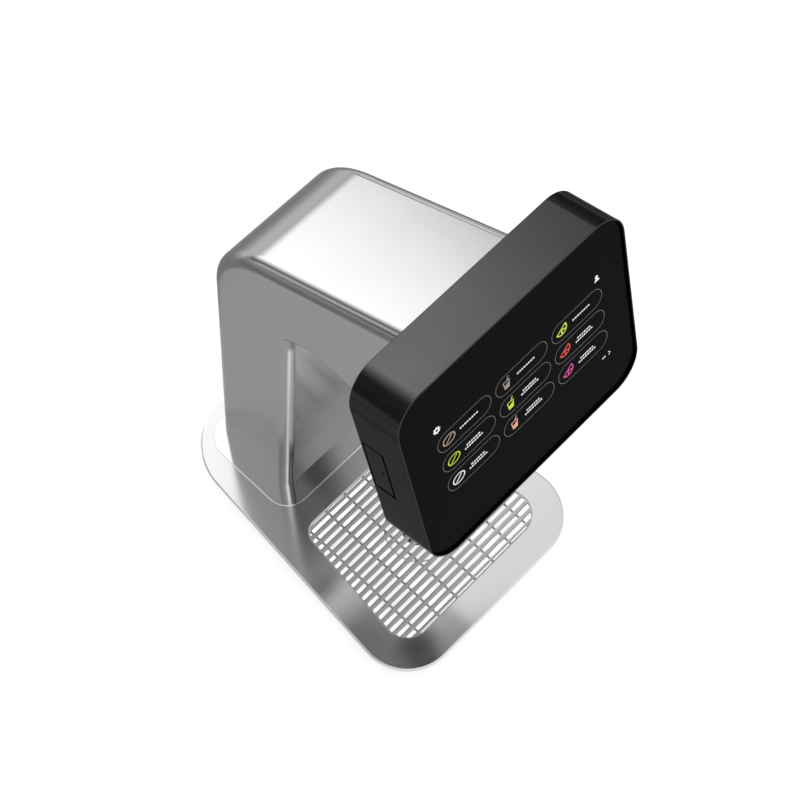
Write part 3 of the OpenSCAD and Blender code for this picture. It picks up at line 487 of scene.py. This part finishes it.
# %% Head housing
RIM, RIM_R, BACK_R = 1.2, 0.4, 1.5
TRAY_WALL, TRAY_BACK, SHELF_IN, SHELF_BACK, SHELF_N = 3, -41.3, 9, -8, -5.8
ROUND = [math.radians(a) for a in (0, 22, 45, 67, 90)]
HATCH_U, HATCH_H, HATCH_FRONT = 4.5, 50.9, -21.4
OUTSIDE_X, INSIDE_X = -110, -103.5  # a cut from outside the head through its left wall


def head_loop(inset, n):
    """Outline of the head moved in by inset, at distance n from the screen."""
    return [on_head(x, u, n) for x, u in rounded(HEAD_W - 2 * inset, HEAD_H - 2 * inset, HEAD_R - inset, 20)]


def hatch_loop(inset, corner_r, x):
    """Outline of the hatch's opening moved in by inset, at distance x from the head's middle."""
    size = (HATCH_H - 2 * inset, HATCH_FRONT - TRAY_BACK - 2 * inset)
    middle = (HATCH_U, (HATCH_FRONT + TRAY_BACK) / 2)
    return [on_head(x, u, n) for u, n in rounded(*size, corner_r, 4, middle)]


tray = [(TRAY_WALL, TRAY_BACK), (TRAY_WALL, SHELF_BACK), (SHELF_IN, SHELF_BACK), (SHELF_IN, SHELF_N)]
tray += [(RIM, SHELF_N), (RIM, -0.12), (RIM - 0.1, 0)]
tray += [(RIM_R - RIM_R * math.sin(a), RIM_R * math.cos(a) - RIM_R) for a in ROUND]
tray += [(BACK_R - BACK_R * math.cos(a), BACK_R - HEAD_D - BACK_R * math.sin(a)) for a in ROUND]
housing = add_piece("head_housing_shell", *loft([head_loop(d, n) for d, n in tray]), black_aluminium)
cut(housing, *loft([hatch_loop(0, 0.8, x) for x in (OUTSIDE_X, INSIDE_X)]))
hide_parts("head_housing")
print("housing:", len(housing.data.polygons), "faces")

# %% [markdown]
# ## Service hatch
# The hatch is a small flap on a pin at the back of its opening. In the photograph it is a thin black outline with a
# dark dot, so two things count: a gap all round, and a small hole in front of the blackened catch. A real gap is
# black because light that goes in doesn't come back. Strips of cellular rubber on the flap's edge and on the wall of
# the opening keep splashes out, and their black with no highlight is painted shade that stands for the dark gap.
# Flap, barrel and one seal ride on the hatch's own body.

# %% Service hatch
HINGE_N, GAP, CATCH_N, CATCH_R = -39.4, 2.2, -27.4, 1.35
BARREL_X, BARREL_R = -105.7, 1.5
FLAP_IN, FLAP_OUT = -104.7, -107.2
HATCH_LOW, HATCH_HIGH = HATCH_U - HATCH_H / 2 + GAP, HATCH_U + HATCH_H / 2 - GAP


def flap_loop(inset, x):
    """Outline of the flap moved in by inset, at distance x from the head's middle."""
    back, front = HINGE_N - 0.3 + inset, HATCH_FRONT - GAP - inset
    outline = rounded(HATCH_HIGH - HATCH_LOW - 2 * inset, front - back, 0.8, 5, (HATCH_U, (front + back) / 2))
    return [on_head(x, u, n) for u, n in outline]


flap = [(0, FLAP_IN)] + [(d, FLAP_OUT + below) for d, below in EASED]
hatch = add_piece("service_hatch_flap", *loft([flap_loop(d, x) for d, x in flap]), black_aluminium, "hatch")
catch_hole = circle((HATCH_U, CATCH_N), CATCH_R, 24)
cut(hatch, *loft([[on_head(x, u, n) for u, n in catch_hole] for x in (OUTSIDE_X, INSIDE_X)]))
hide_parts("service_hatch")
barrel = [[on_head(x, u, n) for x, n in circle((BARREL_X, HINGE_N), BARREL_R, 20)] for u in (HATCH_LOW, HATCH_HIGH)]
add_piece("service_hatch_barrel", *loft(barrel), black_aluminium, "hatch")
# The seals' black, with no highlight, is painted shade for the gap round the flap.
edge_seal = [flap_loop(d, x) for d, x in ((0.2, -104.8), (-0.3, -104.8), (-0.3, -106.9), (0.2, -106.9))]
add_piece("service_hatch_seal", *loft(edge_seal, ring=True), gap_shade_foam, "hatch")
wall_seal = [hatch_loop(d, 0.7, x) for d, x in ((0.02, -103.8), (0.02, -107.0), (0.3, -107.0), (0.3, -103.8))]
add_piece("hatch_opening_seal", *loft(wall_seal, ring=True), gap_shade_foam)
print("hatch:", len(hatch.data.polygons), "faces")

# %% [markdown]
# ## Cover glass panel
# The glass is sunk 2 mm below the rim, which leaves the dark band that the photograph shows along the right and
# lower edges of the screen. Its own edge is ground, as on every cover glass.

# %% Cover glass panel
SINK, GLASS_T = 2.0, 3.0
ground = [(2.6, 0), (2.2, 0.12), (1.9, 0.5), (1.9, GLASS_T)]
panel = add_piece("cover_glass_panel", *loft([head_loop(d, -SINK - below) for d, below in ground]), cover_glass)
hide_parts("glass_panel")
print("glass:", len(panel.data.polygons), "faces")

# %% [markdown]
# ## Base plate
# The base plate is brushed sheet with a turned-down lip, so its outer edge is a bend of 1.5 mm. It is a ring of
# loops, from the grille's opening out over the top, round the bend and back underneath.

# %% Base plate
PLATE, OPENING = (296.5, 221, 187, 44, 58), (134.4, 168.4, 147, 21, 14.5)
PLATE_TOP, SHEET_Z, LIP_Z, LIP_R = 14.0, 12.5, 10, 1.5


def plate_loop(inset, z):
    """Outline of the plate moved in by inset, at height z."""
    return [on_base(x, y, z) for x, y in tapered(*PLATE, inset)]


def opening_loop(inset, z):
    """Outline of the grille's opening moved in by inset, at height z."""
    return [on_base(x, y, z) for x, y in tapered(*OPENING, inset, SPOUT_Y)]


bend = arc((LIP_R, PLATE_TOP - LIP_R), LIP_R, 90, 180, 6)
loops = [opening_loop(0, SHEET_Z), opening_loop(0, PLATE_TOP - 0.25), opening_loop(-0.25, PLATE_TOP)]
loops += [plate_loop(d, z) for d, z in bend + [(0, LIP_Z), (LIP_R, LIP_Z), (LIP_R, SHEET_Z)]]
plate = add_piece("base_plate_sheet", *loft(loops, ring=True), brushed_steel)
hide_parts("base_plate")
print("plate:", len(plate.data.polygons), "faces")

# %% [markdown]
# ## Foot flange
# The flange is a polished sheet, 1 mm thick, that is welded to the column's foot and laid on the base plate. Its
# eased upper edge draws the thin bright line round the foot.

# %% Foot flange
FLANGE_W, FLANGE_L, FLANGE_R, FLANGE_Y = 143.2, 101.6, 21, 81.8


def flange_loop(inset, z):
    """Outline of the flange moved in by inset, at height z."""
    size = (FLANGE_W - 2 * inset, FLANGE_L - 2 * inset)
    return [on_base(x, y, z) for x, y in rounded(*size, FLANGE_R - inset, 16, (0, FLANGE_Y))]


levels = [(0, PLATE_TOP)] + [(d, FOOT_TOP - below) for d, below in EASED]
flange = add_piece("foot_flange_sheet", *loft([flange_loop(d, z) for d, z in levels]), flange_steel)
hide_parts("foot_flange")
print("flange:", len(flange.data.polygons), "faces")

# %% [markdown]
# ## Drip grille
# The grille is a stamped sheet of bars: long ones with rounded tops across the tray, and lower ribs between them.
# The rounds matter, because each bar shows a bright flat between two dark edges; these edges are dark partly from
# their rounds and partly from the painted shade on the flanks. Each bar is a loft whose ends follow the opening's
# outline, so they are computed and not cut. The outermost bars stop short of the rim, which leaves a sliver of the
# white pan there.

# %% Drip grille
ROW, BAR, BAR_R, LAST_BAR = 7.15, 4.05, 1.1, 64.9
CELL, RIB, RIB_R, RIB_BELOW = 22.5, 1.9, 0.7, 0.4
GRILLE_GAP, RIM_IN, RIM_TOP = 0.4, 1.0, 13.3
grille_side = [p for p in tapered(*OPENING, GRILLE_GAP) if p[0] > 0]


def reach(y):
    """Half-width of the grille at a distance y from its middle."""
    for (x0, y0), (x1, y1) in zip(grille_side, grille_side[1:]):
        if y0 <= y <= y1:
            return x0 + (x1 - x0) * (y - y0) / max(y1 - y0, 1e-6)
    return 0


def bar_profile(width, top, radius):
    """Cross-section of a bar with a rounded top, as distances across it and heights."""
    half = width / 2
    right = arc((half - radius, top - radius), radius, 0, 90, 5)
    return [(half, SHEET_Z)] + right + [(-a, z) for a, z in reversed(right)] + [(-half, SHEET_Z)]


lofts = []
for j in range(-9, 10):
    shape = [(min(max(j * ROW + a, -LAST_BAR), LAST_BAR), z) for a, z in bar_profile(BAR, PLATE_TOP, BAR_R)]
    lofts.append(loft([[on_base(side * reach(y), y + SPOUT_Y, z) for y, z in shape] for side in (-1, 1)]))
for i in range(-3, 4):
    ends = [y / 4 for y in range(-267, 268) if reach(y / 4) > abs(i * CELL) + 1]
    shape = [(i * CELL + a, z) for a, z in bar_profile(RIB, PLATE_TOP - RIB_BELOW, RIB_R)]
    lofts.append(loft([[on_base(x, y + SPOUT_Y, z) for x, z in shape] for y in (ends[0], ends[-1])]))
rim = [(GRILLE_GAP, SHEET_Z), (GRILLE_GAP, RIM_TOP), (RIM_IN, RIM_TOP), (RIM_IN, SHEET_Z)]
lofts.append(loft([opening_loop(d, z) for d, z in rim], ring=True))
points, faces = [], []
for more_points, more_faces in lofts:
    faces += [tuple(v + len(points) for v in f) for f in more_faces]
    points += more_points
grille = add_piece("drip_grille_bars", points, faces, grille_steel, "grille")
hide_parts("drip_grille")
print("grille:", len(grille.data.polygons), "faces")

# %% [markdown]
# ## Drain dish
# Through the slots the photograph shows a faint ring in the pan. It is taken as the lip of the drain's dish: a thin
# rubber seal on the floor of the pan.

# %% Drain dish
DISH_IN, DISH_OUT, PAN_FLOOR, LIP_TOP = 28.3, 29.1, 7.0, 7.2
lip = [(DISH_IN, PAN_FLOOR), (DISH_IN, LIP_TOP), (DISH_OUT, LIP_TOP), (DISH_OUT, PAN_FLOOR)]
dish = loft([[on_base(x, y, z) for x, y in circle((0, SPOUT_Y), r, 72)] for r, z in lip], ring=True)
add_piece("drain_dish_seal", *dish, black_rubber)
print("drain dish:", len(dish[1]), "faces")

# %% [markdown]
# ## Lit pixels
# The display shines through the glass. Each mark is a flat mesh a few hundredths of a millimetre in front of it,
# with a shader that gives off its own light at strength 1, as lit pixels do. Marks of one colour are one piece.

# %% Lit pixels
SCREEN_X, SCREEN_UP, LIT_N = 1.3, -0.4, 0.04 - SINK
LIT_COLOURS = {"white": "f2f2f2", "line": "7a7a7a", "bean": "b39a86", "lime": "c3d83a", "tea": "9c8f86",
               "peach": "e2a48c", "red": "d6423c", "magenta": "c83f8e"}


def lit(name, hex_value):
    """Pixels of one colour: they shine, and reflect next to nothing."""
    return start_material(
        name, Base_Color=colour("050505"), Roughness=0.3, Specular_IOR_Level=0.1,
        Emission_Color=colour(hex_value), Emission_Strength=1.0)[0]


pixels = {name: lit("lit_pixels_" + name, value) for name, value in LIT_COLOURS.items()}
marks = {name: ([], []) for name in pixels}


def mark(name, outline):
    """Adds a filled shape, given as an outline on the screen, to the marks of one colour."""
    points, faces = marks[name]
    faces.append(tuple(range(len(points), len(points) + len(outline))))
    points += [on_head(x + SCREEN_X, u + SCREEN_UP, LIT_N) for x, u in outline]


def ring_mark(name, outer, inner):
    """Adds the strip between two outlines with as many points."""
    for i in range(len(outer)):
        mark(name, [outer[i - 1], outer[i], inner[i], inner[i - 1]])


def bar_mark(name, start, end, width):
    """Adds a straight bar between two points."""
    a, b = Vector(start), Vector(end)
    half = Vector((-(b - a).y, (b - a).x)).normalized() * width / 2
    mark(name, [a - half, b - half, b + half, a + half])


print("pixel colours:", len(pixels))

# %% [markdown]
# ## Signs for the drinks
# The drinks are shown by plain signs: a bean, a tumbler and a slice of fruit. Their names are rows of short bars
# without letters, whose widths are drawn at random so that they look like words from afar.

# %% Signs for the drinks
LETTER_H, LETTER_GAP = 1.4, 0.35


def turned(points, at, degrees):
    """Points of a sign turned about its middle and moved to its place."""
    c, s = math.cos(math.radians(degrees)), math.sin(math.radians(degrees))
    return [(at[0] + x * c - y * s, at[1] + x * s + y * c) for x, y in points]


def word_marks(middle, length, letters, rng):
    """Adds a row of short bars that stands for a word."""
    widths = [rng.uniform(0.7, 1.2) for _ in range(letters)]
    unit = length / (sum(widths) + LETTER_GAP * (letters - 1))
    x, low, high = middle[0] - length / 2, middle[1] - LETTER_H / 2, middle[1] + LETTER_H / 2
    for w in widths:
        mark("white", [(x, low), (x + w * unit, low), (x + w * unit, high), (x, high)])
        x += (w + LETTER_GAP) * unit


def bean(at, name):
    """An oval ring with a line along it."""
    outer, inner = ([(a * math.cos(t / 5), b * math.sin(t / 5)) for t in range(31)]
                    for a, b in ((6, 4.6), (5, 3.7)))
    ring_mark(name, turned(outer, at, 12), turned(inner, at, 12))
    bar_mark(name, *turned([(-3.4, -1.9), (3.4, 1.9)], at, 12), 0.9)


def tumbler(at, name):
    """A cup in outline, half full, with a straw."""
    outer = [(-2.3, -4.6), (2.3, -4.6), (3.3, 3), (-3.3, 3)]
    inner = [(-1.5, -3.8), (1.5, -3.8), (2.4, 2.2), (-2.4, 2.2)]
    ring_mark(name, turned(outer, at, 0), turned(inner, at, 0))
    mark(name, turned([(-1.6, -4), (1.6, -4), (2.3, 0.8), (-1.9, -1.2)], at, 0))
    bar_mark(name, *turned([(0.2, 2.2), (2.6, 6.4)], at, 0), 0.8)


def slice_of_fruit(at, name):
    """Half a disc: the rind, the cut edge and two walls between three segments."""
    outer, inner = arc((0, 1.6), 5.7, 180, 360, 20), arc((0, 1.6), 4.5, 180, 360, 20)
    for i in range(20):
        mark(name, turned([outer[i], outer[i + 1], inner[i + 1], inner[i]], at, 33))
    for start, end in (((-5.7, 2.0), (5.7, 2.0)), ((0, 1.6), (-2.3, -2.6)), ((0, 1.6), (2.3, -2.6))):
        bar_mark(name, *turned([start, end], at, 33), 1.2)


print("signs:", bean.__name__, tumbler.__name__, slice_of_fruit.__name__)

# %% [markdown]
# ## Drink buttons
# Nine buttons stand in three columns, one column for each kind of drink. Each is a thin line in the shape of a pill,
# with a sign at its left and a name of one or two words.

# %% Drink buttons
PILL_W, PILL_H, PILL_LINE, COLUMN_PITCH, ROW_PITCH = 50.3, 17.7, 0.35, 54.8, 22.1
SIGN_X, WORD_X, WORD_UP = -14.6, 4, 1.4
LONG_WORD, SHORT_WORD = (17, 8), (13, 6)  # length, and number of bars
SIGNS = [(bean, ("bean", "lime", "white")), (tumbler, ("tea", "lime", "peach")),
         (slice_of_fruit, ("lime", "red", "magenta"))]
rng = random.Random(7)
for column, (sign, names) in enumerate(SIGNS):
    for row, name in enumerate(names):
        cx, cu = (column - 1) * COLUMN_PITCH, (1 - row) * ROW_PITCH
        outer, inner = (rounded(PILL_W - 2 * d, PILL_H - 2 * d, PILL_H / 2 - d, 14, (cx, cu))
                        for d in (0, PILL_LINE))
        ring_mark("line", outer, inner)
        sign((cx + SIGN_X, cu), name)
        if row == 0:
            word_marks((cx + WORD_X, cu), *LONG_WORD, rng)
        else:
            word_marks((cx + WORD_X, cu + WORD_UP), *SHORT_WORD, rng)
            word_marks((cx + WORD_X, cu - WORD_UP), *LONG_WORD, rng)
print("marks:", {name: len(faces) for name, (points, faces) in marks.items()})

# %% [markdown]
# ## Corner signs
# The corners hold what such screens usually have: a gear for the settings, a person for the staff, and an arrow to
# the next page. With these the marks are complete, and each colour becomes a piece.

# %% Corner signs
GEAR, PERSON_HEAD, PERSON_BODY = (-77, 39.8), (77, 40.8), (77, 36.8)
ARROW = [(78.8, -40.8), (80.6, -42.6), (78.8, -44.4)]
for k in range(8):
    bar_mark("white", *turned([(2, 0), (3.2, 0)], GEAR, 45 * k), 1.2)
ring_mark("white", circle(GEAR, 2.5, 30), circle(GEAR, 1.1, 30))
mark("white", circle(PERSON_HEAD, 1.5, 20))
mark("white", arc(PERSON_BODY, 2.5, 0, 180, 16))
for start, end in zip(ARROW, ARROW[1:]):
    bar_mark("white", start, end, 0.6)
word_marks((74, -42.6), 3.4, 3, rng)
for name, (points, faces) in marks.items():
    add_piece("screen_marks_" + name, points, faces, pixels[name])
print("mark layers:", len(marks))

# %% [markdown]
# ## Finishes of the other pieces
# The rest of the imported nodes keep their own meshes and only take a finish. Most sit inside, and show when the
# grille is lifted, the hatch is open, or the part is seen from below.

# %% Finishes by node
finishes = {
    "base_gasket": black_rubber, "base_frame": frame_plastic, "drip_pan": pan_plastic,
    "drain_bush": plain_steel, "drain_strainer": plain_steel,
    "threaded_inserts": brass, "foot_screws": plain_steel, "chassis": zinc_steel, "hose_bulkhead": zinc_steel,
    "bulkhead_screws": plain_steel, "concentrate_inlets": white_plastic, "water_inlet": blue_plastic,
    "power_inlet": black_plastic, "concentrate_tubes": clear_tube, "water_tube": blue_plastic,
    "wiring_loom": black_rubber, "valve_manifold": acetal, "manifold_screws": plain_steel,
    "valve_coils": black_plastic, "nozzle_body": acetal, "nozzle_collar": black_plastic,
    "nozzle_seal": black_rubber, "nozzle_tip": black_plastic, "arm_seal": black_rubber,
    "head_screws": plain_steel, "glass_tape": black_rubber, "display_module": display_grey,
    "board_standoffs": brass, "control_board": board_green, "board_screws": plain_steel,
    "hatch_pin": plain_steel, "hatch_catch": dark_steel,
    "service_panel": black_plastic, "service_board": board_green, "data_port": plain_steel,
    "power_button": red_plastic,
}
for node, finish in finishes.items():
    mesh = frame["nodes"][node].data
    mesh.materials.clear()
    mesh.materials.append(finish)
print("finished nodes:", len(finishes))

# %% [markdown]
# ## Floor
# The stage is a white paper sweep. Its diffuse part is grey and keeps the object's soft shadow. To the camera it adds
# light of its own, so it reads as white. To mirrors it adds light that depends on the place, as the paper in a studio
# is never evenly lit: less on the far left and more towards the lamps at the back. Just behind the object it adds
# little, which is a painted shadow that only mirrors see; the bend at the back of the arm mirrors that dark strip as
# a soft grey border.

# %% Floor
FLOOR_HALF, PAPER_LIGHT, PAPER_GREY = 6, 0.76, 0.35
corners = [(x * FLOOR_HALF, y * FLOOR_HALF, 0) for x, y in ((-1, -1), (1, -1), (1, 1), (-1, 1))]
floor_mesh = bpy.data.meshes.new("floor")
floor_mesh.from_pydata(corners, [], [(0, 1, 2, 3)])
floor = link_object("floor", floor_mesh)
paper = bpy.data.materials.new("white_paper_sweep")
paper.use_nodes = True
tree = paper.node_tree
tree.nodes.clear()
path = add(tree, "ShaderNodeLightPath")
seen = (path, "Is Camera Ray")
for ray in ("Is Glossy Ray", "Is Transmission Ray"):
    seen = (add(tree, "ShaderNodeMath", None, {0: seen, 1: (path, ray)}, operation="MAXIMUM"), 0)
axis = axes_of(tree)
behind = add(tree, "ShaderNodeMath", {1: 0.15}, {0: (axis, "X"), 2: (axis, "Y")}, operation="MULTIPLY_ADD")
# Little light just behind the object, for mirrors only: a painted shadow.
mirrored = zone(tree, ((axis, "X"), -0.42, -0.3, 0.25, PAPER_LIGHT), ((behind, 0), 0.19, 0.28, 1.0, 0.36),
                ((behind, 0), 0.45, 1.6, 1.0, 4.4))
white = add(tree, "ShaderNodeMath", {1: PAPER_LIGHT}, {0: (path, "Is Camera Ray")}, operation="MULTIPLY")
glow = add(tree, "ShaderNodeMath", None, {0: (mirrored, 0), 1: (white, 0)}, operation="MAXIMUM")
glow = add(tree, "ShaderNodeMath", None, {0: (glow, 0), 1: seen}, operation="MULTIPLY")
shine = add(tree, "ShaderNodeEmission", {"Color": (1, 1, 1, 1)}, {"Strength": (glow, 0)})
matte = add(tree, "ShaderNodeBsdfDiffuse", {"Color": (PAPER_GREY, PAPER_GREY, PAPER_GREY, 1)})
both = add(tree, "ShaderNodeAddShader", None, {0: (shine, "Emission"), 1: (matte, "BSDF")})
add(tree, "ShaderNodeOutputMaterial", None, {"Surface": (both, "Shader")})
floor_mesh.materials.append(paper)
print("floor:", floor.name)

# %% [markdown]
# ## Studio light
# Polished steel shows its surroundings, so the light is painted as a studio in the world, by direction: y is towards
# the back and z up. A ceiling of white cloth is brighter over the front and over the back. A tall panel at the back
# is what the sloped top of the arm mirrors as white, and a narrow strip on each side of it draws the light bands on
# the flange and the rounded edges. The camera itself sees plain white.

# %% Studio light
world = bpy.data.worlds.new("bright_studio")
bpy.context.scene.world = world
world.use_nodes = True
tree = world.node_tree
tree.nodes.clear()
axis = axes_of(tree, "Generated")
x, y, z = (axis, "X"), (axis, "Y"), (axis, "Z")
over_back, over_front = zone(tree, (y, 0.17, 0.44, 0.0, 0.6)), zone(tree, (y, -0.3, 0.1, 1.5, 0.95))
cloth = add(tree, "ShaderNodeMath", None, {0: (over_back, 0), 1: (over_front, 0)}, operation="ADD")
above, ahead = zone(tree, (z, 0.62, 0.85, 0.0, 1.0)), zone(tree, (y, 0.0, 0.45, 0.6, 0.1))
hung = add(tree, "ShaderNodeMath", None, {0: (above, 0), 1: (ahead, 0)}, operation="MAXIMUM")
light = add(tree, "ShaderNodeMath", None, {0: (hung, 0), 1: (cloth, 0)}, operation="MULTIPLY")
panel_lamp = zone(tree, (x, -0.35, 0.3, 0.0, 1.0), (x, 0.34, 0.51, 1.0, 0.0), (y, 0.35, 0.6, 0.0, 3.7),
                  (z, -0.02, 0.15, 0.3, 1.0), (z, 0.6, 0.75, 1.0, 0.0))
right_strip = zone(tree, (x, 0.5, 0.56, 0.0, 2.2), (x, 0.64, 0.7, 1.0, 0.0), (y, 0.64, 0.72, 0.0, 1.0),
                   (z, 0.25, 0.4, 1.0, 0.0))
left_strip = zone(tree, (x, -0.62, -0.5, 0.0, 1.1), (x, -0.4, -0.3, 1.0, 0.0), (y, 0.4, 0.6, 0.0, 1.0),
                  (z, 0.28, 0.4, 1.0, 0.0))
for lamp in (panel_lamp, right_strip, left_strip):
    light = add(tree, "ShaderNodeMath", None, {0: (light, 0), 1: (lamp, 0)}, operation="ADD")
path = add(tree, "ShaderNodeLightPath")
shown = add(tree, "ShaderNodeMix", {"B": 1.0}, {"Factor": (path, "Is Camera Ray"), "A": (light, 0)})
sky = add(tree, "ShaderNodeBackground", {"Color": (1, 1, 1, 1)}, {"Strength": (shown, "Result")})
add(tree, "ShaderNodeOutputWorld", None, {"Surface": (sky, "Background")})
bpy.context.scene.view_settings.view_transform = "Standard"
print("world:", world.name)

# %% [markdown]
# ## Camera
# The photograph looks down on the left front corner. The camera was solved from the grille's regular slots and the
# straight edges of the base, column and head, so the model and the photograph can be laid over each other.

# %% Camera
lens = bpy.data.cameras.new("camera")
lens.lens, lens.sensor_width = 82.684, 36
camera = link_object("camera", lens)
camera.location = (-0.465844, -0.350957, 1.483484)
camera.rotation_euler = (0.42103831, -0.06172245, -0.81075201)
bpy.context.scene.camera = camera
print("camera at", [round(v, 3) for v in camera.location])
